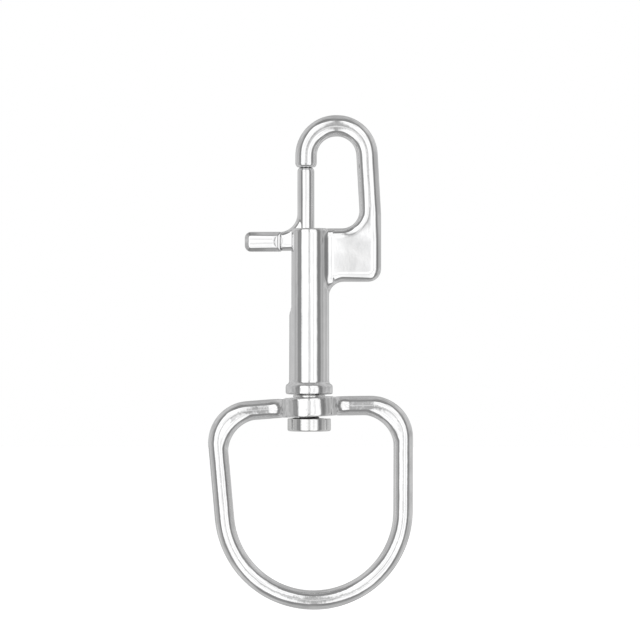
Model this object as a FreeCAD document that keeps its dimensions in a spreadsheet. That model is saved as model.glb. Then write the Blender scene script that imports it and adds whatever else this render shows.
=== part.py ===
"""A swivel bolt snap in cast stainless steel: a hook with a spring bolt, on a large D-shaped swivel ring.

The row frame: +Z up with the hook at the top, origin on the inside of the hook's crown, where it bears on
what it hangs from, and the flat of the snap in the XZ plane. Lengths are in millimetres, angles in degrees.
"""

import FreeCAD, Part
import math
import os

import Sketcher
from FreeCAD import Rotation, Vector

SIZES = [
    # Hook and plate
    ("crown_inner_radius", 4.66, "inside of the hook's crown"),
    ("crown_flat", 0.2, "straight at the top of the crown"),
    ("hook_width", 5.26, "bar of the hook, in the plane of the snap"),
    ("hook_depth", 5.0, "bar of the hook and the plate, front to back"),
    ("tip_length", 2.94, "straight tip, below the crown's centre"),
    ("tip_rounding", 1.1, "rim of the tip's end"),
    ("leg_slope", 3.2, "lean of the hook's back leg, outwards going down"),
    ("eye_length", 22.2, "inside of the crown to the floor of the hook's eye"),
    ("eye_corner", 4.2, "corner between the back leg and the eye's floor"),
    ("plate_reach", 10.93, "crown's centre to the plate's outer edge"),
    ("plate_length", 13.0, "eye's floor to the plate's lower edge"),
    ("plate_corner", 3.15, "outer lower corner of the plate"),
    ("plate_root", 3.55, "hollow corner between the plate and the barrel"),
    ("root_land", 0.03, "straight below that hollow corner"),
    ("edge_rounding", 2.3, "edges of the hook and the plate"),
    ("seat_ball", 4.0, "ball that shapes the bolt's seat in the hook's tip"),
    ("seat_depth", 0.55, "depth of that seat"),
    # Barrel
    ("barrel_offset", 6.53, "crown's centre to the barrel's axis"),
    ("barrel_top_radius", 4.8, "barrel at the eye's floor"),
    ("barrel_foot_radius", 4.93, "barrel above its collar"),
    ("barrel_length", 37.55, "eye's floor to the collar"),
    ("barrel_rim", 0.6, "rounding of the barrel's top"),
    ("collar_radius", 5.78, "collar at the barrel's foot"),
    ("collar_length", 2.65, "collar along the axis, to its outer lower edge"),
    ("collar_rounding", 0.9, "upper edge of the collar"),
    ("bearing_radius", 4.0, "flat face under the collar"),
    ("bearing_drop", 0.15, "how far that face stands below the collar's edge"),
    ("bolt_offset", 0.8, "barrel's axis to the bolt's axis, away from the plate"),
    ("bore_radius", 2.17, "bore of the bolt and its spring"),
    ("bore_depth", 30.0, "bore, from the barrel's top"),
    ("slot_width", 3.7, "slot of the thumb lug"),
    ("slot_length", 20.6, "slot, from the barrel's top to its round end"),
    # Bolt with its thumb lug
    ("bolt_radius", 2.07, "bolt"),
    ("nose_rise", 0.26, "how far the bolt's nose stands in its seat"),
    ("nose_rounding", 1.1, "rounding of the nose"),
    ("bolt_tail", 9.0, "bolt inside the barrel, from the barrel's top"),
    ("pilot_radius", 1.25, "pilot that centres the spring"),
    ("pilot_length", 3.0, "length of that pilot"),
    ("lug_drop", 0.9, "barrel's top to the lug's upper side"),
    ("lug_height", 4.82, "lug along the barrel"),
    ("lug_web", 4.4, "hollow corner between the lug and the bolt"),
    ("neck_height", 4.6, "neck of the lug, along the barrel"),
    ("neck_width", 3.4, "neck of the lug, which runs in the slot"),
    ("neck_rounding", 1.6, "lower edges of the neck"),
    ("thumb_width", 5.6, "thumb piece, front to back"),
    ("thumb_start", 6.0, "bolt's axis to the thumb piece's inner end"),
    ("thumb_end", 14.8, "bolt's axis to the thumb piece's outer end"),
    ("thumb_bevel", 0.95, "bevel round the thumb piece's front and back faces"),
    ("thumb_corner", 1.5, "outer corners of the thumb piece"),
    # Spring
    ("spring_radius", 1.7, "spring, to the middle of its wire"),
    ("spring_wire", 0.4, "wire of the spring"),
    ("spring_active", 12.0, "working coils"),
    ("spring_end_pitch", 0.46, "pitch of the closed coil at each end"),
    # Swivel
    ("stud_radius", 2.3, "shank of the swivel stud"),
    ("stud_grip", 8.0, "shank held in the barrel's foot"),
    ("washer_play", 0.05, "collar to washer"),
    ("washer_hole", 2.38, "hole of the washer"),
    ("washer_radius", 3.95, "washer"),
    ("washer_thickness", 0.62, "washer along the axis"),
    ("boss_play", 0.23, "washer to the ring's boss"),
    ("head_play", 0.25, "the ring's boss to the stud's head"),
    ("head_radius", 5.3, "head of the stud"),
    ("head_length", 3.35, "head along the axis"),
    ("head_land", 3.6, "flat on top of the head"),
    ("head_slope", 0.25, "fall of the head's top to its rim"),
    ("head_rounding", 0.45, "lower edge of the head"),
    # Ring
    ("ring_wire", 4.8, "bar of the ring"),
    ("ring_tilt", 2.45, "lean of the ring on its stud, at rest"),
    ("bar_start", 3.4, "swivel's axis to the start of the bar, inside the boss"),
    ("bar_rise", 0.32, "how far the bar stands above the middle of the boss"),
    ("bar_slope", 1.9, "fall of the ring's bar, from the boss outwards"),
    ("leg_lean", 2.65, "lean of the ring's sides, inwards going down"),
    ("shoulder_radius", 7.8, "corner of the ring, to the middle of its bar"),
    ("web_radius", 10.25, "web that thickens that corner on its inside, to the middle of its bar"),
    ("web_wire", 4.6, "bar of that web"),
    ("bow_radius", 21.68, "bow of the ring, to the middle of its bar"),
    ("bow_drop", 25.05, "middle of the boss to the bow's centre"),
    ("boss_radius", 7.0, "boss of the ring"),
    ("boss_height", 4.35, "boss along the stud, between its spot faces"),
    ("boss_rim", 0.3, "rim of the boss above its upper spot face"),
    ("boss_hole", 2.55, "hole of the boss"),
    ("spot_radius", 6.0, "flat spot faces on the boss"),
]

doc = FreeCAD.newDocument("bolt_snap")
sheet = doc.addObject("Spreadsheet::Sheet", "sizes")
for row, (alias, size, meaning) in enumerate(SIZES, start=1):
    sheet.set(f"A{row}", alias)
    sheet.set(f"B{row}", str(size))
    sheet.set(f"C{row}", meaning)
    sheet.setAlias(f"B{row}", alias)
doc.recompute()


def sized(formula):
    """A formula in the sheet's aliases, as an expression and as its value now."""
    names = {alias for alias, _, _ in SIZES}
    words, word = [], ""
    for letter in formula + " ":
        if letter.isalnum() or letter == "_":
            word += letter
        else:
            words.append(f"sizes.{word}" if word in names else word)
            words.append(letter)
            word = ""
    expression = "".join(words).strip()
    value = sheet.evalExpression(expression)
    return expression, float(getattr(value, "Value", value))


def bind(thing, prop, formula):
    thing.setExpression(prop, sized(formula)[0])


def new_body(label):
    body = doc.addObject("PartDesign::Body", label)
    body.Label = label
    return body


def origin_plane(body, role):
    return next(plane for plane in body.Origin.OriginFeatures if plane.Role == role)


def new_sketch(body, name, role, height=None):
    """A sketch on one of the body's origin planes, raised above it by the formula height."""
    sketch = body.newObject("Sketcher::SketchObject", name)
    sketch.AttachmentSupport = [(origin_plane(body, role), "")]
    sketch.MapMode = "FlatFace"
    if height:
        bind(sketch, "AttachmentOffset.Base.z", height)
    return sketch


def arc_between(start, end, radius, turn):
    """The arc of at most half a circle from start to end. turn is 1 anticlockwise and -1 clockwise."""
    chord = end - start
    across = Vector(-chord.y, chord.x, 0).normalize()
    centre = (start + end) / 2 + across * turn * math.sqrt(max(radius**2 - (chord.Length / 2) ** 2, 0))
    first, last = (start, end) if turn > 0 else (end, start)
    angles = [math.atan2(p.y - centre.y, p.x - centre.x) for p in (first, last)]
    if angles[1] < angles[0]:
        angles[1] += 2 * math.pi
    return Part.ArcOfCircle(Part.Circle(centre, Vector(0, 0, 1), radius), *angles)


def draw(sketch, corners, arcs=None, closed=True):
    """Draws lines through corners, pairs of formulas, and holds each corner at them.

    arcs turns a side into an arc: {number of the side: (formula of its radius, turn)}.
    """
    arcs = arcs or {}
    points = [Vector(sized(x)[1], sized(y)[1], 0) for x, y in corners]
    sides = len(points) if closed else len(points) - 1
    ends = []  # each side's (start, end) as sketch vertex numbers
    for i in range(sides):
        start, end = points[i], points[(i + 1) % len(points)]
        if i in arcs:
            radius, turn = arcs[i]
            sketch.addGeometry(arc_between(start, end, sized(radius)[1], turn))
            number = sketch.addConstraint(Sketcher.Constraint("Radius", i, sized(radius)[1]))
            bind(sketch, f"Constraints[{number}]", radius)
            ends.append((1, 2) if turn > 0 else (2, 1))
        else:
            sketch.addGeometry(Part.LineSegment(start, end))
            ends.append((1, 2))
    for i in range(sides if closed else sides - 1):
        j = (i + 1) % sides
        sketch.addConstraint(Sketcher.Constraint("Coincident", i, ends[i][1], j, ends[j][0]))
    for i, corner in enumerate(corners):
        side, vertex = (i, ends[i][0]) if i < sides else (i - 1, ends[i - 1][1])
        for kind, formula in zip(("DistanceX", "DistanceY"), corner):
            number = sketch.addConstraint(Sketcher.Constraint(kind, side, vertex, sized(formula)[1]))
            bind(sketch, f"Constraints[{number}]", formula)


def draw_circle(sketch, x, y, radius):
    """A circle whose centre and radius are formulas."""
    centre = Vector(sized(x)[1], sized(y)[1], 0)
    circle = sketch.addGeometry(Part.Circle(centre, Vector(0, 0, 1), sized(radius)[1]))
    for kind, place, formula in (("DistanceX", (3,), x), ("DistanceY", (3,), y), ("Radius", (), radius)):
        number = sketch.addConstraint(Sketcher.Constraint(kind, circle, *place, sized(formula)[1]))
        bind(sketch, f"Constraints[{number}]", formula)


def feature(body, kind, name, sketch, **lengths):
    """A PartDesign feature on a sketch, with its lengths bound to formulas."""
    made = body.newObject(f"PartDesign::{kind}", name)
    made.Profile = sketch
    for prop, formula in lengths.items():
        bind(made, prop, formula)
    return made


def pad_both_ways(body, name, sketch, width):
    made = feature(body, "Pad", name, sketch, Length=width)
    made.Midplane = True
    return made


def turned(body, kind, name, sketch):
    """A Revolution or a Groove about the body's own Z axis, which is the sketch's vertical axis."""
    made = feature(body, kind, name, sketch)
    made.ReferenceAxis = (sketch, ["V_Axis"])
    made.Angle = 360
    return made


def round_edges(body, name, radius, wanted, kind="Fillet"):
    """Rounds or bevels the edges of the body's last feature whose points pass the test wanted."""
    doc.recompute()
    base = body.Tip
    found = [
        f"Edge{i}"
        for i, edge in enumerate(base.Shape.Edges, start=1)
        if wanted([edge.valueAt(edge.getParameterByLength(edge.Length * k / 4)) for k in range(5)])
    ]
    made = body.newObject(f"PartDesign::{kind}", name)
    made.Base = (base, found)
    bind(made, "Radius" if kind == "Fillet" else "Size", radius)
    doc.recompute()


def near(a, b, within=0.02):
    return abs(a - b) < within


def upright(x, z):
    """A test for the edges that run front to back at the formulas x and z."""
    x, z = sized(x)[1], sized(z)[1]
    return lambda points: all(near(p.x, x) and near(p.z, z) for p in points)


# Heights that more than one piece uses, in the row frame
TIP_END = "(-crown_inner_radius - tip_length)"
BARREL_TOP = "(-eye_length)"
COLLAR_TOP = "(-eye_length - barrel_length)"
COLLAR_EDGE = "(-eye_length - barrel_length - collar_length)"
BEARING_FACE = f"({COLLAR_EDGE} - bearing_drop)"
WASHER_FACE = f"({BEARING_FACE} - washer_play - washer_thickness)"
RING_PIVOT = f"({WASHER_FACE} - boss_play - boss_height / 2)"
HEAD_TOP = f"({RING_PIVOT} - boss_height / 2 - head_play)"
BOLT_SHOULDER = "(-eye_length - bolt_tail)"
BORE_FLOOR = "(-eye_length - bore_depth)"


def make_hook_body():
    """Hook, plate and slotted barrel in one casting. Its own Z axis is the barrel's."""
    body = new_body("hook_body")
    bind(body, "Placement.Base.x", "-barrel_offset")
    add_hook(body)
    add_barrel(body)
    cut_bolt_seat(body)
    return body


def add_hook(body):
    centre = "-crown_inner_radius"
    outer = "(crown_inner_radius + hook_width)"
    crown_end = "(barrel_offset + crown_flat)"
    leg_x = f"({crown_end} + crown_inner_radius * cos(leg_slope))"
    leg_z = f"({centre} + crown_inner_radius * sin(leg_slope))"
    back_x = f"({crown_end} + {outer} * cos(leg_slope))"
    back_z = f"({centre} + {outer} * sin(leg_slope))"
    eye_x = f"({leg_x} + ({leg_z} + eye_length) * tan(leg_slope))"
    plate_x = "(barrel_offset + plate_reach)"
    plate_z = f"({BARREL_TOP} - plate_length)"
    root_z = f"({plate_z} - plate_root - root_land)"
    tip_x = f"(barrel_offset - {outer})"
    outline = new_sketch(body, "hook_outline", "XZ_Plane")
    draw(
        outline,
        [
            (tip_x, TIP_END),
            ("barrel_offset - crown_inner_radius", TIP_END),
            ("barrel_offset - crown_inner_radius", centre),
            ("barrel_offset", "0"),
            (crown_end, "0"),
            (leg_x, leg_z),
            (eye_x, BARREL_TOP),
            ("0", BARREL_TOP),
            ("0", root_z),
            ("barrel_top_radius", root_z),
            ("barrel_top_radius", plate_z),
            (plate_x, plate_z),
            (plate_x, f"{back_z} - ({plate_x} - {back_x}) / tan(leg_slope)"),
            (back_x, back_z),
            (crown_end, f"{centre} + {outer}"),
            ("barrel_offset", f"{centre} + {outer}"),
            (tip_x, centre),
        ],
        arcs={2: ("crown_inner_radius", -1), 4: ("crown_inner_radius", -1), 13: (outer, 1), 15: (outer, 1)},
    )
    pad_both_ways(body, "hook_and_plate", outline, "hook_depth")
    round_edges(body, "eye_corner_rounding", "eye_corner", upright(eye_x, BARREL_TOP))
    round_edges(body, "plate_corner_rounding", "plate_corner", upright(plate_x, plate_z))
    round_edges(body, "plate_root_rounding", "plate_root", upright("barrel_top_radius", plate_z))

    half_depth = sized("hook_depth / 2")[1]
    top, root, tip = (sized(height)[1] for height in (BARREL_TOP, root_z, TIP_END))
    barrel = sized("barrel_top_radius")[1]

    def on_a_face(points):
        in_barrel = all(p.x < barrel and p.z < top - 0.5 for p in points)
        cut_off = any(all(near(p.z, height) for p in points) for height in (root, tip))
        return all(near(abs(p.y), half_depth) for p in points) and not in_barrel and not cut_off

    round_edges(body, "bar_rounding", "edge_rounding", on_a_face)
    round_edges(body, "tip_end_rounding", "tip_rounding", lambda points: all(near(p.z, tip) for p in points))


def add_barrel(body):
    """The barrel with its collar, bored for the bolt and the stud and slotted for the thumb lug."""
    profile = new_sketch(body, "barrel_profile", "XZ_Plane")
    draw(
        profile,
        [
            ("0", BARREL_TOP),
            ("barrel_top_radius - barrel_rim", BARREL_TOP),
            ("barrel_top_radius", f"{BARREL_TOP} - barrel_rim"),
            ("barrel_foot_radius", COLLAR_TOP),
            ("collar_radius - collar_rounding", COLLAR_TOP),
            ("collar_radius", f"{COLLAR_TOP} - collar_rounding"),
            ("collar_radius", COLLAR_EDGE),
            ("bearing_radius", BEARING_FACE),
            ("0", BEARING_FACE),
        ],
        arcs={1: ("barrel_rim", -1), 4: ("collar_rounding", -1)},
    )
    turned(body, "Revolution", "barrel", profile)

    bore = new_sketch(body, "bore_circle", "XY_Plane", BARREL_TOP)
    draw_circle(bore, "-bolt_offset", "0", "bore_radius")
    cut(body, "bolt_bore", bore, "bore_depth")

    slot_x = "-bolt_offset"
    slot = new_sketch(body, "slot_outline", "YZ_Plane", slot_x)
    round_end = f"({BARREL_TOP} - slot_length + slot_width / 2)"
    draw(
        slot,
        [
            ("-slot_width / 2", f"{BARREL_TOP} + barrel_rim"),
            ("-slot_width / 2", round_end),
            ("0", f"{round_end} - slot_width / 2"),
            ("slot_width / 2", round_end),
            ("slot_width / 2", f"{BARREL_TOP} + barrel_rim"),
        ],
        arcs={1: ("slot_width / 2", 1), 2: ("slot_width / 2", 1)},
    )
    cut(body, "lug_slot", slot, "barrel_foot_radius")

    pocket = new_sketch(body, "stud_pocket_circle", "XY_Plane", f"{BEARING_FACE} + stud_grip")
    draw_circle(pocket, "0", "0", "stud_radius")
    cut(body, "stud_pocket", pocket, "stud_grip")


def cut_bolt_seat(body):
    seat = body.newObject("PartDesign::SubtractiveSphere", "bolt_seat")
    seat.AttachmentSupport = [(origin_plane(body, "XY_Plane"), "")]
    seat.MapMode = "FlatFace"
    bind(seat, "Radius", "seat_ball")
    bind(seat, "AttachmentOffset.Base.x", "-bolt_offset")
    bind(seat, "AttachmentOffset.Base.z", f"{TIP_END} + seat_depth - seat_ball")


def make_gate_bolt():
    """The bolt that shuts the hook, with its thumb lug. Its own Z axis is the bolt's."""
    body = new_body("gate_bolt")
    bind(body, "Placement.Base.x", "-barrel_offset - bolt_offset")
    lug_top = f"({BARREL_TOP} - lug_drop)"
    add_lug_neck(body, lug_top)
    nose = f"({TIP_END} + nose_rise)"
    pilot_end = f"({BOLT_SHOULDER} - pilot_length)"
    profile = new_sketch(body, "bolt_profile", "XZ_Plane")
    draw(
        profile,
        [
            ("0", nose),
            ("bolt_radius - nose_rounding", nose),
            ("bolt_radius", f"{nose} - nose_rounding"),
            ("bolt_radius", BOLT_SHOULDER),
            ("pilot_radius", BOLT_SHOULDER),
            ("pilot_radius", f"{pilot_end} + pilot_radius / 4"),
            ("pilot_radius * 3 / 4", pilot_end),
            ("0", pilot_end),
        ],
        arcs={1: ("nose_rounding", -1)},
    )
    turned(body, "Revolution", "bolt", profile)
    add_thumb_piece(body, lug_top)
    return body


def add_lug_neck(body, lug_top):
    """The neck that runs in the slot, with the web that braces it against the bolt."""
    outline = new_sketch(body, "neck_outline", "XZ_Plane")
    neck_end = "-thumb_start - thumb_bevel"
    bottom = f"{lug_top} - neck_height"
    draw(
        outline,
        [
            ("0", bottom),
            ("0", f"{lug_top} + lug_web"),
            ("-bolt_radius", f"{lug_top} + lug_web"),
            ("-bolt_radius - lug_web", lug_top),
            (neck_end, lug_top),
            (neck_end, bottom),
        ],
        arcs={2: ("lug_web", -1)},
    )
    pad_both_ways(body, "neck", outline, "neck_width")
    half, end, web_top = (sized(f)[1] for f in ("neck_width / 2", neck_end, f"{lug_top} + lug_web"))

    def long_edge(points):
        on_a_face = all(near(abs(p.y), half) for p in points)
        at_an_end = any(all(near(p.x, x) for p in points) for x in (0, end))
        return on_a_face and not at_an_end and not all(near(p.z, web_top) for p in points)

    round_edges(body, "neck_edge_rounding", "neck_rounding", long_edge)


def add_thumb_piece(body, lug_top):
    bottom = f"{lug_top} - lug_height"
    outline = new_sketch(body, "thumb_outline", "XZ_Plane")
    inner, outer = "-thumb_start", "-thumb_end"
    draw(outline, [(inner, bottom), (inner, lug_top), (outer, lug_top), (outer, bottom)])
    pad_both_ways(body, "thumb_piece", outline, "thumb_width")
    round_edges(
        body,
        "thumb_corner_rounding",
        "thumb_corner",
        lambda points: upright(outer, lug_top)(points) or upright(outer, bottom)(points),
    )
    half = sized("thumb_width / 2")[1]

    def face_edge(points):
        return all(near(abs(p.y), half) for p in points)

    round_edges(body, "thumb_bevels", "thumb_bevel", face_edge, "Chamfer")


def make_gate_spring():
    """The compression spring under the bolt, with a closed coil at each end. Its own Z axis is the bolt's."""
    body = new_body("gate_spring")
    bind(body, "Placement.Base.x", "-barrel_offset - bolt_offset")
    bind(body, "Placement.Base.z", BORE_FLOOR)
    closed = "spring_end_pitch"
    free_height = f"(bore_depth - bolt_tail - spring_wire - 2 * {closed})"
    coils = [
        ("foot_coil", "spring_wire / 2", closed, closed),
        ("working_coils", f"spring_wire / 2 + {closed}", f"{free_height} / spring_active", free_height),
        ("head_coil", f"spring_wire / 2 + {closed} + {free_height}", closed, closed),
    ]
    for name, start, pitch, height in coils:
        section = new_sketch(body, f"{name}_section", "XZ_Plane")
        draw_circle(section, "spring_radius", start, "spring_wire / 2")
        doc.recompute()
        coil = body.newObject("PartDesign::AdditiveHelix", name)
        coil.Profile = section
        coil.ReferenceAxis = (section, ["V_Axis"])
        coil.Mode = 0
        bind(coil, "Pitch", pitch)
        bind(coil, "Height", height)
    return body


def make_swivel_stud():
    """The stud that holds the ring, its shank in the barrel's foot. Its origin is on top of its drum head."""
    body = new_body("swivel_stud")
    bind(body, "Placement.Base.x", "-barrel_offset")
    bind(body, "Placement.Base.z", HEAD_TOP)
    end = f"({BEARING_FACE} + stud_grip - {HEAD_TOP})"
    profile = new_sketch(body, "stud_profile", "XZ_Plane")
    draw(
        profile,
        [
            ("0", "-head_length"),
            ("head_radius - head_rounding", "-head_length"),
            ("head_radius", "-head_length + head_rounding"),
            ("head_radius", "-head_slope"),
            ("head_land", "0"),
            ("stud_radius", "0"),
            ("stud_radius", end),
            ("0", end),
        ],
        arcs={1: ("head_rounding", 1)},
    )
    turned(body, "Revolution", "stud", profile)
    return body


def make_thrust_washer():
    """The washer between collar and ring. Its origin is in its lower face."""
    body = new_body("thrust_washer")
    bind(body, "Placement.Base.x", "-barrel_offset")
    bind(body, "Placement.Base.z", WASHER_FACE)
    rims = new_sketch(body, "washer_rims", "XY_Plane")
    draw_circle(rims, "0", "0", "washer_radius")
    draw_circle(rims, "0", "0", "washer_hole")
    feature(body, "Pad", "washer", rims, Length="washer_thickness")
    outer = sized("washer_radius")[1]

    def outer_rim(points):
        return near(points[0].z, points[2].z) and all(near(math.hypot(p.x, p.y), outer) for p in points)

    round_edges(body, "rim_rounding", "washer_thickness / 4", outer_rim)
    return body


def shoulder(radius):
    """Where an arc in the ring's right shoulder leaves the bar, and where it meets the ring's side."""
    inset = f"(bow_radius - {radius} + (bow_drop + bar_rise - {radius} / cos(bar_slope)) * sin(leg_lean))"
    x = f"({inset} * cos(bar_slope) / cos(leg_lean - bar_slope))"
    z = f"(bar_rise - ({radius} + {x} * sin(bar_slope)) / cos(bar_slope))"
    return [
        (f"{x} + {radius} * sin(bar_slope)", f"{z} + {radius} * cos(bar_slope)"),
        (f"{x} + {radius} * cos(leg_lean)", f"{z} - {radius} * sin(leg_lean)"),
    ]


def add_round_bar(body, name, path, thickness):
    """A round bar of the ring, along a path."""
    doc.recompute()
    section = body.newObject("Sketcher::SketchObject", f"{name}_section")
    section.AttachmentSupport = [(path, "Edge1")]
    section.MapMode = "NormalToEdge"
    section.MapPathParameter = 0
    draw_circle(section, "0", "0", f"{thickness} / 2")
    pipe = feature(body, "AdditivePipe", name, section)
    pipe.Spine = path


def make_swivel_ring():
    """The D-shaped ring. Its origin is the middle of its boss, and it leans about its own Y axis at rest."""
    body = new_body("swivel_ring")
    bind(body, "Placement.Base.x", "-barrel_offset")
    bind(body, "Placement.Base.z", RING_PIVOT)
    body.Placement.Rotation = Rotation(Vector(0, -1, 0), sized("ring_tilt")[1])
    bind(body, "Placement.Rotation.Angle", "ring_tilt")

    right = [
        ("bar_start * cos(bar_slope)", "bar_rise - bar_start * sin(bar_slope)"),
        *shoulder("shoulder_radius"),
        ("bow_radius * cos(leg_lean)", "-bow_drop - bow_radius * sin(leg_lean)"),
    ]
    left = [(f"-({x})", z) for x, z in reversed(right)]
    corner, bow = ("shoulder_radius", -1), ("bow_radius", -1)
    path = new_sketch(body, "ring_path", "XZ_Plane")
    draw(
        path,
        right + [("0", "-bow_drop - bow_radius")] + left,
        arcs={1: corner, 3: bow, 4: bow, 6: corner},
        closed=False,
    )
    add_round_bar(body, "bar", path, "ring_wire")
    for side, sign, turn in (("right", "", -1), ("left", "-", 1)):
        web_path = new_sketch(body, f"{side}_web_path", "XZ_Plane")
        ends = [(f"{sign}({x})", z) for x, z in shoulder("web_radius")]
        draw(web_path, ends, arcs={0: ("web_radius", turn)}, closed=False)
        add_round_bar(body, f"{side}_web", web_path, "web_wire")

    boss_top = "boss_height / 2 + boss_rim"
    boss = new_sketch(body, "boss_circle", "XY_Plane", "-boss_height / 2")
    draw_circle(boss, "0", "0", "boss_radius")
    feature(body, "Pad", "boss", boss, Length="boss_height + boss_rim")
    for name, height, upwards in (
        ("upper_spot_face", "boss_height / 2 + ring_wire", False),
        ("lower_spot_face", "-boss_height / 2 - ring_wire", True),
    ):
        spot = new_sketch(body, f"{name}_circle", "XY_Plane", height)
        draw_circle(spot, "0", "0", "spot_radius")
        cut(body, name, spot, "ring_wire", upwards)
    hole = new_sketch(body, "boss_hole_circle", "XY_Plane", boss_top)
    draw_circle(hole, "0", "0", "boss_hole")
    cut(body, "boss_hole", hole, "2 * boss_height")
    return body


def cut(body, name, sketch, depth, upwards=False):
    """A pocket, downwards or to the left of its sketch unless upwards, which has to take something away."""
    doc.recompute()
    before = body.Shape.Volume
    made = feature(body, "Pocket", name, sketch, Length=depth)
    made.Reversed = upwards
    doc.recompute()
    if body.Shape.Volume >= before:
        raise RuntimeError(f"{name} cuts nothing")


def write_parts(bodies):
    doc.recompute()
    failed = [thing.Label for thing in doc.Objects if {"Invalid", "Error"} & set(thing.State)]
    if failed:
        raise RuntimeError(f"failed: {failed}")
    os.makedirs("parts", exist_ok=True)
    for body in bodies:
        shape = body.Shape
        if shape.isNull() or not shape.isValid() or len(shape.Solids) != 1:
            raise RuntimeError(f"{body.Label} is not one valid solid")
        print(f"{body.Label}: {shape.Volume:.1f} mm3")
        shape.exportStep(f"parts/{body.Label}.step")


write_parts(
    [
        make_hook_body(),
        make_gate_bolt(),
        make_gate_spring(),
        make_swivel_stud(),
        make_thrust_washer(),
        make_swivel_ring(),
    ]
)
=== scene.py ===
"""The swivel bolt snap's looks: polished castings with soft edges, turned steel and a wire spring.

Each piece takes the place of a CAD node and rides on that node's body. Lengths are in metres, and in
millimetres where MM divides or multiplies them. Angles of the light are in degrees.
"""

import math

import bmesh
import bpy
import numpy as np
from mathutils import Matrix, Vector


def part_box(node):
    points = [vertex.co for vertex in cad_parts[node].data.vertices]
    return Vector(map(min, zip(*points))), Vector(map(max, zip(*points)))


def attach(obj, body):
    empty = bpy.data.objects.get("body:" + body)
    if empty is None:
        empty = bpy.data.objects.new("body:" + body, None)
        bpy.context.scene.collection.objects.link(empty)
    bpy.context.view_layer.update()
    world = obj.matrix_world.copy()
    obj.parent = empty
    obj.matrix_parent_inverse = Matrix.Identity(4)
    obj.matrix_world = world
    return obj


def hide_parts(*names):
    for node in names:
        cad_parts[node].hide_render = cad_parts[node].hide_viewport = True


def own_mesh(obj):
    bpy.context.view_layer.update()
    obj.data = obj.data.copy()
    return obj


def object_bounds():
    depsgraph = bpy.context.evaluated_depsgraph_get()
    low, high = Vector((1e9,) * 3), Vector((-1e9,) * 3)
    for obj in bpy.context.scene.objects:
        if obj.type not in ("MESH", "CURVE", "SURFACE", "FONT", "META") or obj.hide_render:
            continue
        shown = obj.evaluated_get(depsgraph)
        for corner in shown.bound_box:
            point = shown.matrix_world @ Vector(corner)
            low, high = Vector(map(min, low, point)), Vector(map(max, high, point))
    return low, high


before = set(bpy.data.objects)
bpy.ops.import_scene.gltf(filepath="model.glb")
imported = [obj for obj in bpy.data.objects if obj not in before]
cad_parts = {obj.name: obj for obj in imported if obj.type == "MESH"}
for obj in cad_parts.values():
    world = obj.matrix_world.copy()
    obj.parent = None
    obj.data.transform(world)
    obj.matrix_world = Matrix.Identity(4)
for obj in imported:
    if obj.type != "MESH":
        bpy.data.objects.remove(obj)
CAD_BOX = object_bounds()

MM = 0.001

# Pieces: sizes in millimetres, and tapers as shares of the thickness
HOOK_VOXEL, HOOK_SOFTNESS = 0.22, 0.3
BOLT_VOXEL, BOLT_SOFTNESS = 0.11, 0.2
RING_VOXEL, RING_SOFTNESS = 0.2, 0.4
STUD_VOXEL, WASHER_VOXEL = 0.12, 0.06
PLATE_START, PLATE_FOOT, PLATE_TOP = -2.4, -33.5, -24.0
PLATE_WIDTH, PLATE_TAPER, PLATE_WAVE, PLATE_HALF = 15.6, 0.4, 0.26, 2.5
PLATE_FADE = 4.0  # below the plate's foot, where its shaping ends
BARREL_AXIS, BARREL_RADIUS, CREASE_RADIUS = -6.53, 4.8, 4.0
THUMB_LENGTH, THUMB_MIDDLE, THUMB_HALF_HEIGHT, THUMB_BEVEL = 8.8, -25.5, 1.46, 0.95
THUMB_CROWN, THUMB_ROLL, THUMB_TAPER = 0.16, 1.3, 0.3
NECK_TAPER, NECK_LENGTH = 0.12, 3.0
BOSS_RADIUS, BAR_RADIUS, BAR_FOOT = 7.0, 2.4, -69.5
FLARE_RADIUS, FLARE_SQUARENESS = 6.0, 0.6
SPRING_WIRE, SPRING_COILS, SPRING_END_PITCH = 0.4, 12, 0.46
SPRING_STEPS, SPRING_SIDES = 36, 10

# Studio
METAL = 0.83  # share of the light that the polished steel returns
FLOOR_RADIUS, FLOOR_GAP = 1.5, 0.012
CAMERA_DISTANCE, VIEW_WIDTH = 7.5, 1.2934  # in heights of the snap
CAMERA_SIDE, CAMERA_RISE = 0.019, 0.0857
LIGHT_SIZE, LIGHT_RISE, LIGHT_POWER = 5, 5, 0.6  # in heights of the snap, and in watts

# The panels of a plain soft studio for polished metal, in shares of full white, as (azimuth from, to,
# elevation from, to, light, softness of the edges). Azimuth is 0 at the camera and positive to the right.
ROOM = 0.45
PANELS = [
    (95, 150, -60, 60, 0.55, 40),  # pale side walls
    (-150, -95, -60, 60, 0.55, 40),
    (-70, 70, -75, 75, 0.25, 20),  # dark flags round the soft boxes
    (3, 45, -45, 45, 1.1, 10),  # soft boxes
    (-45, -3, -45, 45, 1.1, 10),
    (-3, 3, -3, 3, 0.8, 4),  # the camera
]
BACKDROP_START, BACKDROP_SOFTNESS = 165, 10  # behind the snap, in degrees off the front
CLUTTER_SCALE, CLUTTER_LOW, CLUTTER_HIGH = 5.0, 0.72, 1.2


# Mesh helpers


def new_object(name, mesh, material):
    piece = bpy.data.objects.new(name, mesh)
    bpy.context.scene.collection.objects.link(piece)
    mesh.materials.clear()
    mesh.materials.append(material)
    mesh.polygons.foreach_set("use_smooth", [True] * len(mesh.polygons))
    return piece


def applied(piece):
    """The piece's mesh with its modifiers in it."""
    seen = piece.evaluated_get(bpy.context.evaluated_depsgraph_get())
    return bpy.data.meshes.new_from_object(seen)


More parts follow.
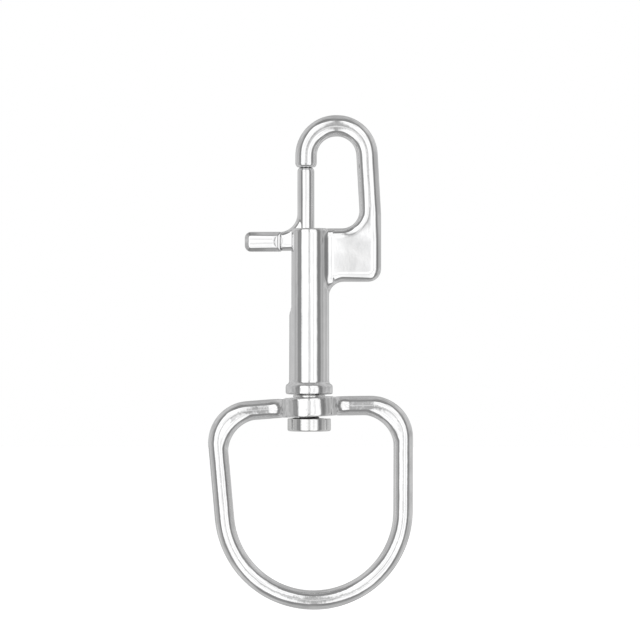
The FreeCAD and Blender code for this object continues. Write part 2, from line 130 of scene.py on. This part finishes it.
def recast(node, voxel, softness):
    """The node's solid as even quads of voxel metres, with its edges softened over about softness metres."""
    draft = bpy.data.objects.new(f"{node}_draft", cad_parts[node].data.copy())
    bpy.context.scene.collection.objects.link(draft)
    weld = bmesh.new()
    weld.from_mesh(draft.data)
    bmesh.ops.remove_doubles(weld, verts=weld.verts, dist=voxel / 1000)
    weld.to_mesh(draft.data)
    weld.free()
    remesh = draft.modifiers.new("even_quads", "REMESH")
    remesh.mode = "VOXEL"
    remesh.voxel_size = voxel
    smooth = draft.modifiers.new("soft_edges", "SMOOTH")
    smooth.factor = 0.5
    smooth.iterations = max(1, round(4 * (softness / voxel) ** 2))
    mesh = applied(draft)
    bpy.data.objects.remove(draft)
    return mesh


def points_of(mesh):
    points = np.empty(len(mesh.vertices) * 3)
    mesh.vertices.foreach_get("co", points)
    return points.reshape(-1, 3)


def set_points(mesh, points):
    mesh.vertices.foreach_set("co", points.ravel())
    mesh.update()


def ramp_up(values, low, high):
    """0 below low, 1 above high, and smooth between."""
    share = np.clip((values - low) / (high - low), 0, 1)
    return share * share * (3 - 2 * share)


# Materials


def new_material(name):
    material = bpy.data.materials.new(name)
    material.use_nodes = True
    nodes, links = material.node_tree.nodes, material.node_tree.links
    return material, nodes, links, nodes["Principled BSDF"]


def noise(nodes, links, scale, detail=2.0, stretch=(1, 1, 1)):
    """Noise in the object's own metres. scale is in features per metre."""
    place = nodes.new("ShaderNodeTexCoord")
    mapping = nodes.new("ShaderNodeMapping")
    mapping.inputs["Scale"].default_value = stretch
    links.new(place.outputs["Object"], mapping.inputs["Vector"])
    texture = nodes.new("ShaderNodeTexNoise")
    texture.inputs["Scale"].default_value = scale
    texture.inputs["Detail"].default_value = detail
    links.new(mapping.outputs["Vector"], texture.inputs["Vector"])
    return texture.outputs["Fac"]


def between(nodes, links, factor, low, high, start=0.0, end=1.0):
    """low where factor is start or less, high where it is end or more."""
    spread = nodes.new("ShaderNodeMapRange")
    spread.inputs["From Min"].default_value = start
    spread.inputs["From Max"].default_value = end
    spread.inputs["To Min"].default_value = low
    spread.inputs["To Max"].default_value = high
    links.new(factor, spread.inputs["Value"])
    return spread.outputs["Result"]


def tint(nodes, links, factor, dark, light):
    """A colour between dark and light, by factor."""
    ramp = nodes.new("ShaderNodeValToRGB")
    ramp.color_ramp.elements[0].color = (*dark, 1)
    ramp.color_ramp.elements[1].color = (*light, 1)
    ramp.color_ramp.elements[0].position = 0.3
    ramp.color_ramp.elements[1].position = 0.7
    links.new(factor, ramp.inputs["Fac"])
    return ramp.outputs["Color"]


def bumped(nodes, links, height, distance, below=None):
    """A normal with height's bumps, on top of the normal below."""
    bump = nodes.new("ShaderNodeBump")
    bump.inputs["Distance"].default_value = distance
    links.new(height, bump.inputs["Height"])
    if below:
        links.new(below, bump.inputs["Normal"])
    return bump.outputs["Normal"]


def polished_casting(name, waves, peel):
    """Tumbled and polished cast stainless: a mirror with slow waves, a fine peel and duller patches.

    waves and peel are the heights of those unevennesses in metres.
    """
    material, nodes, links, shader = new_material(name)
    shader.inputs["Metallic"].default_value = 1.0
    cloud = noise(nodes, links, 160, 4)
    links.new(tint(nodes, links, cloud, (0.78, 0.78, 0.785), (0.86, 0.86, 0.86)), shader.inputs["Base Color"])
    patches = between(nodes, links, noise(nodes, links, 230, 5), 0.03, 0.13, 0.5, 0.72)
    links.new(patches, shader.inputs["Roughness"])
    normal = bumped(nodes, links, noise(nodes, links, 150, 1), waves)
    normal = bumped(nodes, links, noise(nodes, links, 560, 2), peel, normal)
    links.new(bumped(nodes, links, noise(nodes, links, 2200, 3), 0.003 * MM, normal), shader.inputs["Normal"])
    return material


def turned_steel():
    material, nodes, links, shader = new_material("turned_steel")
    shader.inputs["Metallic"].default_value = 1.0
    cloud = noise(nodes, links, 200, 3)
    links.new(tint(nodes, links, cloud, (0.76, 0.76, 0.76), (0.83, 0.83, 0.82)), shader.inputs["Base Color"])
    links.new(between(nodes, links, noise(nodes, links, 900, 4), 0.05, 0.11), shader.inputs["Roughness"])
    rings = noise(nodes, links, 60, 2, (1, 1, 60))
    links.new(bumped(nodes, links, rings, 0.02 * MM), shader.inputs["Normal"])
    return material


def spring_wire():
    material, nodes, links, shader = new_material("spring_wire")
    shader.inputs["Metallic"].default_value = 1.0
    cloud = noise(nodes, links, 500, 3)
    links.new(tint(nodes, links, cloud, (0.52, 0.52, 0.51), (0.66, 0.66, 0.64)), shader.inputs["Base Color"])
    links.new(between(nodes, links, noise(nodes, links, 2500, 3), 0.22, 0.38), shader.inputs["Roughness"])
    links.new(bumped(nodes, links, noise(nodes, links, 3000, 2), 0.006 * MM), shader.inputs["Normal"])
    return material


CAST = polished_casting("polished_casting", 0.08 * MM, 0.012 * MM)
RING_CAST = polished_casting("ring_casting", 0.14 * MM, 0.035 * MM)
TURNED = turned_steel()
WIRE = spring_wire()


# Pieces


def stands_in(piece, node, body):
    """The piece is shown in place of the CAD node and moves with its body."""
    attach(piece, body)
    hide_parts(node)


def make_hook():
    mesh = recast("hook_body", HOOK_VOXEL * MM, HOOK_SOFTNESS * MM)
    fill_plate_crease(mesh)
    taper_plate(mesh)
    piece = new_object("hook_casting", mesh, CAST)
    stands_in(piece, "hook_body", "hook_body")


def thinned(points, share, inside):
    """Moves points towards the snap's middle plane by share of their distance, where inside is 1."""
    points[:, 1] *= 1 - share * inside


def in_plate(z, fade_start, fade_end):
    """1 at the heights of the plate. It fades out between fade_start and fade_end about the plate's top."""
    foot = ramp_up(z, PLATE_FOOT - PLATE_FADE, PLATE_FOOT)
    return foot * (1 - ramp_up(z, PLATE_TOP + fade_start, PLATE_TOP + fade_end))


def fill_plate_crease(mesh):
    """A hollow rounding between the barrel and the plate's faces."""
    points = points_of(mesh)
    x, y, z = (points / MM).T
    off_axis = x - BARREL_AXIS
    centre_y = PLATE_HALF + CREASE_RADIUS
    centre_x = math.sqrt((BARREL_RADIUS + CREASE_RADIUS) ** 2 - centre_y**2)
    touch = BARREL_RADIUS * centre_x / (BARREL_RADIUS + CREASE_RADIUS)
    rise = centre_y - np.sqrt(np.clip(CREASE_RADIUS**2 - (off_axis - centre_x) ** 2, 0, None))
    crease = (off_axis > touch) * (off_axis < centre_x) * (abs(y) > PLATE_HALF * 0.6)
    wanted = np.maximum(abs(y), rise)
    points[:, 1] += np.sign(y) * (wanted - abs(y)) * crease * in_plate(z, -1, 3) * MM
    set_points(mesh, points)


def taper_plate(mesh):
    """The plate gets thinner from the barrel to its outer edge, in a slow wave on both faces."""
    points = points_of(mesh)
    x, _, z = (points / MM).T
    outwards = np.clip((x - PLATE_START) / PLATE_WIDTH, 0, 1)
    wave = PLATE_WAVE * np.sin(2 * math.pi * outwards) / (2 * math.pi)
    thinned(points, PLATE_TAPER * (outwards + wave), in_plate(z, -2, 8))
    set_points(mesh, points)


def make_bolt():
    mesh = recast("gate_bolt", BOLT_VOXEL * MM, BOLT_SOFTNESS * MM)
    crown_thumb_piece(mesh)
    piece = new_object("sliding_bolt", mesh, CAST)
    stands_in(piece, "gate_bolt", "gate")


def crown_thumb_piece(mesh):
    """The thumb piece's faces are pillows, and they and the neck's get a little closer outwards."""
    low, high = (np.array(corner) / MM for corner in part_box("gate_bolt"))
    points = points_of(mesh)
    x, y, z = (points / MM).T
    inner_end = low[0] + THUMB_LENGTH
    across = np.clip((z - THUMB_MIDDLE) / THUMB_HALF_HEIGHT, -1, 1)
    inwards = np.clip((x - inner_end + THUMB_BEVEL + THUMB_ROLL) / THUMB_ROLL, 0, 1)
    on_face = ramp_up(abs(y), high[1] - 1.5, high[1] - 0.8) * (x < inner_end + 0.2)
    drop = THUMB_CROWN * across**2 + THUMB_CROWN * inwards**2 * (1 - across**2)
    points[:, 1] -= np.sign(y) * drop * on_face * MM
    thinned(points, THUMB_TAPER * np.clip((inner_end - x) / THUMB_LENGTH, 0, 1), 1)
    neck = (x > inner_end) * (z < THUMB_MIDDLE + THUMB_HALF_HEIGHT + THUMB_BEVEL)
    thinned(points, NECK_TAPER * (1 - ramp_up(x, inner_end, inner_end + NECK_LENGTH)), neck)
    set_points(mesh, points)


def make_ring():
    mesh = recast("swivel_ring", RING_VOXEL * MM, RING_SOFTNESS * MM)
    flare_bar(mesh)
    piece = new_object("d_ring", mesh, RING_CAST)
    stands_in(piece, "swivel_ring", "ring")


def flare_bar(mesh):
    """The ring's bar gets deeper and squarer towards its boss, in a hollow curve that touches them both."""
    points = points_of(mesh)
    x, y, z = (points / MM).T
    off_axis = abs(x - BARREL_AXIS)
    centre_y = BAR_RADIUS + FLARE_RADIUS
    centre_x = math.sqrt((BOSS_RADIUS + FLARE_RADIUS) ** 2 - centre_y**2)
    touch = BOSS_RADIUS * centre_x / (BOSS_RADIUS + FLARE_RADIUS)
    depth = centre_y - np.sqrt(FLARE_RADIUS**2 - np.clip(centre_x - off_axis, 0, FLARE_RADIUS) ** 2)
    plain = np.maximum(BAR_RADIUS, np.sqrt(np.clip(BOSS_RADIUS**2 - off_axis**2, 0, None)))
    squareness = FLARE_SQUARENESS * (1 - ramp_up(off_axis, touch, centre_x))
    flared = (off_axis > touch) * (off_axis < centre_x) * (z > BAR_FOOT)
    wanted = np.maximum(depth, plain) * np.clip(abs(y) / plain, 0, 1) ** (1 - squareness)
    points[:, 1] += np.sign(y) * (wanted - abs(y)) * flared * MM
    set_points(mesh, points)


def make_stud():
    mesh = recast("swivel_stud", STUD_VOXEL * MM, STUD_VOXEL * MM)
    piece = new_object("drum_head_stud", mesh, TURNED)
    stands_in(piece, "swivel_stud", "hook_body")


def make_washer():
    mesh = recast("thrust_washer", WASHER_VOXEL * MM, WASHER_VOXEL * MM)
    piece = new_object("washer", mesh, TURNED)
    stands_in(piece, "thrust_washer", "washer")


def make_spring():
    """The spring as a round wire on a helix, with a closed coil at each end."""
    low, high = (np.array(corner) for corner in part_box("gate_spring"))
    wire = SPRING_WIRE * MM / 2
    radius = (high[0] - low[0]) / 2 - wire
    axis = (low[:2] + high[:2]) / 2
    turns = SPRING_COILS + 2
    steps = turns * SPRING_STEPS
    turn = np.linspace(0, turns, steps + 1)
    closed = SPRING_END_PITCH * MM
    foot = low[2] + wire
    reach = high[2] - low[2] - 2 * wire
    rise = np.interp(turn, [0, 1, turns - 1, turns], [0, closed, reach - closed, reach])
    ring = bmesh.new()
    loops = []
    for angle, height in zip(turn * 2 * math.pi, rise):
        outwards = Vector((math.cos(angle), math.sin(angle), 0))
        centre = Vector((axis[0], axis[1], foot + height)) + outwards * radius
        loops.append(
            [
                ring.verts.new(centre + outwards * wire * math.cos(a) + Vector((0, 0, wire * math.sin(a))))
                for a in np.linspace(0, 2 * math.pi, SPRING_SIDES, endpoint=False)
            ]
        )
    for one, other in zip(loops, loops[1:]):
        for i in range(SPRING_SIDES):
            j = (i + 1) % SPRING_SIDES
            ring.faces.new((one[i], one[j], other[j], other[i]))
    ring.faces.new(loops[0][::-1])
    ring.faces.new(loops[-1])
    bmesh.ops.recalc_face_normals(ring, faces=ring.faces)
    mesh = bpy.data.meshes.new("spring")
    ring.to_mesh(mesh)
    ring.free()
    piece = new_object("coil_spring", mesh, WIRE)
    stands_in(piece, "gate_spring", "hook_body")
    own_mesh(piece)


make_hook()
make_bolt()
make_ring()
make_stud()
make_washer()
make_spring()


# Studio

LOW, HIGH = (Vector(corner) for corner in CAD_BOX)
HEIGHT = HIGH.z - LOW.z
MIDDLE = (LOW + HIGH) / 2


def sums(nodes, links, operation, *values):
    """The result of a math node on numbers and sockets."""
    node = nodes.new("ShaderNodeMath")
    node.operation = operation
    for socket, value in zip(node.inputs, values):
        if isinstance(value, (int, float)):
            socket.default_value = value
        else:
            links.new(value, socket)
    return node.outputs[0]


def past(nodes, links, angle, middle, softness):
    """0 below the middle angle and 1 above it, smooth over the softness in degrees."""
    step = nodes.new("ShaderNodeMapRange")
    step.interpolation_type = "SMOOTHSTEP"
    step.inputs["From Min"].default_value = math.radians(middle - softness / 2)
    step.inputs["From Max"].default_value = math.radians(middle + softness / 2)
    links.new(angle, step.inputs["Value"])
    return step.outputs["Result"]


def within(nodes, links, angle, low, high, softness):
    """1 between the low and high angles, with soft ends."""
    start, end = (past(nodes, links, angle, limit, softness) for limit in (low, high))
    return sums(nodes, links, "SUBTRACT", start, end)


def lit(nodes, links, light, share, level):
    """light, replaced by level where share is 1."""
    change = sums(nodes, links, "SUBTRACT", level, light)
    return sums(nodes, links, "MULTIPLY_ADD", change, share, light)


def make_world():
    """The metal mirrors a pale room with soft panels, a little uneven. The camera sees plain white."""
    world = bpy.data.worlds.new("studio")
    bpy.context.scene.world = world
    world.use_nodes = True
    nodes, links = world.node_tree.nodes, world.node_tree.links
    place = nodes.new("ShaderNodeTexCoord")
    axes = nodes.new("ShaderNodeSeparateXYZ")
    links.new(place.outputs["Generated"], axes.inputs[0])
    x, y, z = axes.outputs
    front = sums(nodes, links, "MULTIPLY", y, -1.0)
    off_front = sums(nodes, links, "ARCCOSINE", front)
    azimuth = sums(nodes, links, "ARCTAN2", x, front)
    elevation = sums(nodes, links, "ARCSINE", z)
    light = ROOM
    for left, right, low, high, level, edge in PANELS:
        across = within(nodes, links, azimuth, left, right, edge)
        upright = within(nodes, links, elevation, low, high, edge)
        light = lit(nodes, links, light, sums(nodes, links, "MULTIPLY", across, upright), level)
    backdrop_share = past(nodes, links, off_front, BACKDROP_START, BACKDROP_SOFTNESS)
    light = lit(nodes, links, light, backdrop_share, 1.0)
    clutter = nodes.new("ShaderNodeTexNoise")
    clutter.inputs["Scale"].default_value = CLUTTER_SCALE
    clutter.inputs["Detail"].default_value = 4.0
    links.new(place.outputs["Generated"], clutter.inputs["Vector"])
    unevenness = between(nodes, links, clutter.outputs["Fac"], CLUTTER_LOW, CLUTTER_HIGH, 0.3, 0.7)
    seen_in_metal = nodes["Background"]
    strength = sums(nodes, links, "MULTIPLY", unevenness, 1 / METAL)
    seen_in_metal.inputs["Color"].default_value = (1, 1, 1, 1)
    links.new(sums(nodes, links, "MULTIPLY", light, strength), seen_in_metal.inputs["Strength"])
    backdrop = nodes.new("ShaderNodeBackground")
    backdrop.inputs["Color"].default_value = (1, 1, 1, 1)
    ray = nodes.new("ShaderNodeLightPath")
    choice = nodes.new("ShaderNodeMixShader")
    links.new(ray.outputs["Is Camera Ray"], choice.inputs[0])
    links.new(seen_in_metal.outputs[0], choice.inputs[1])
    links.new(backdrop.outputs[0], choice.inputs[2])
    links.new(choice.outputs[0], nodes["World Output"].inputs["Surface"])


def make_camera():
    """Level with a point a little above the snap's middle, and square to its front."""
    data = bpy.data.cameras.new("camera")
    camera = bpy.data.objects.new("camera", data)
    bpy.context.scene.collection.objects.link(camera)
    data.sensor_width = 36
    data.lens = data.sensor_width * CAMERA_DISTANCE / VIEW_WIDTH
    data.clip_end = 10
    camera.location = MIDDLE + HEIGHT * Vector((CAMERA_SIDE, -CAMERA_DISTANCE, CAMERA_RISE))
    camera.rotation_euler = (math.pi / 2, 0, 0)
    bpy.context.scene.camera = camera
    bpy.context.scene.view_settings.view_transform = "Standard"


def make_floor():
    """A plain white floor just below the snap, lit so that it runs into the white behind it."""
    mesh = bpy.data.meshes.new("floor")
    disc = bmesh.new()
    bmesh.ops.create_circle(disc, cap_ends=True, segments=96, radius=FLOOR_RADIUS)
    disc.to_mesh(mesh)
    disc.free()
    material, _, _, shader = new_material("floor_paint")
    shader.inputs["Base Color"].default_value = (0.9, 0.9, 0.9, 1)
    shader.inputs["Roughness"].default_value = 0.9
    shader.inputs["Emission Color"].default_value = (1, 1, 1, 1)
    shader.inputs["Emission Strength"].default_value = 0.5
    floor = new_object("floor", mesh, material)
    floor.location = (MIDDLE.x, MIDDLE.y, LOW.z - FLOOR_GAP)
    floor.visible_glossy = False


def make_soft_light():
    """One large soft light overhead. The metal doesn't mirror it."""
    data = bpy.data.lights.new("overhead", "AREA")
    data.shape = "DISK"
    data.size = LIGHT_SIZE * HEIGHT
    data.energy = LIGHT_POWER
    light = bpy.data.objects.new("overhead", data)
    bpy.context.scene.collection.objects.link(light)
    light.location = (MIDDLE.x, MIDDLE.y, HIGH.z + LIGHT_RISE * HEIGHT)
    light.visible_glossy = False


make_world()
make_floor()
make_soft_light()
make_camera()
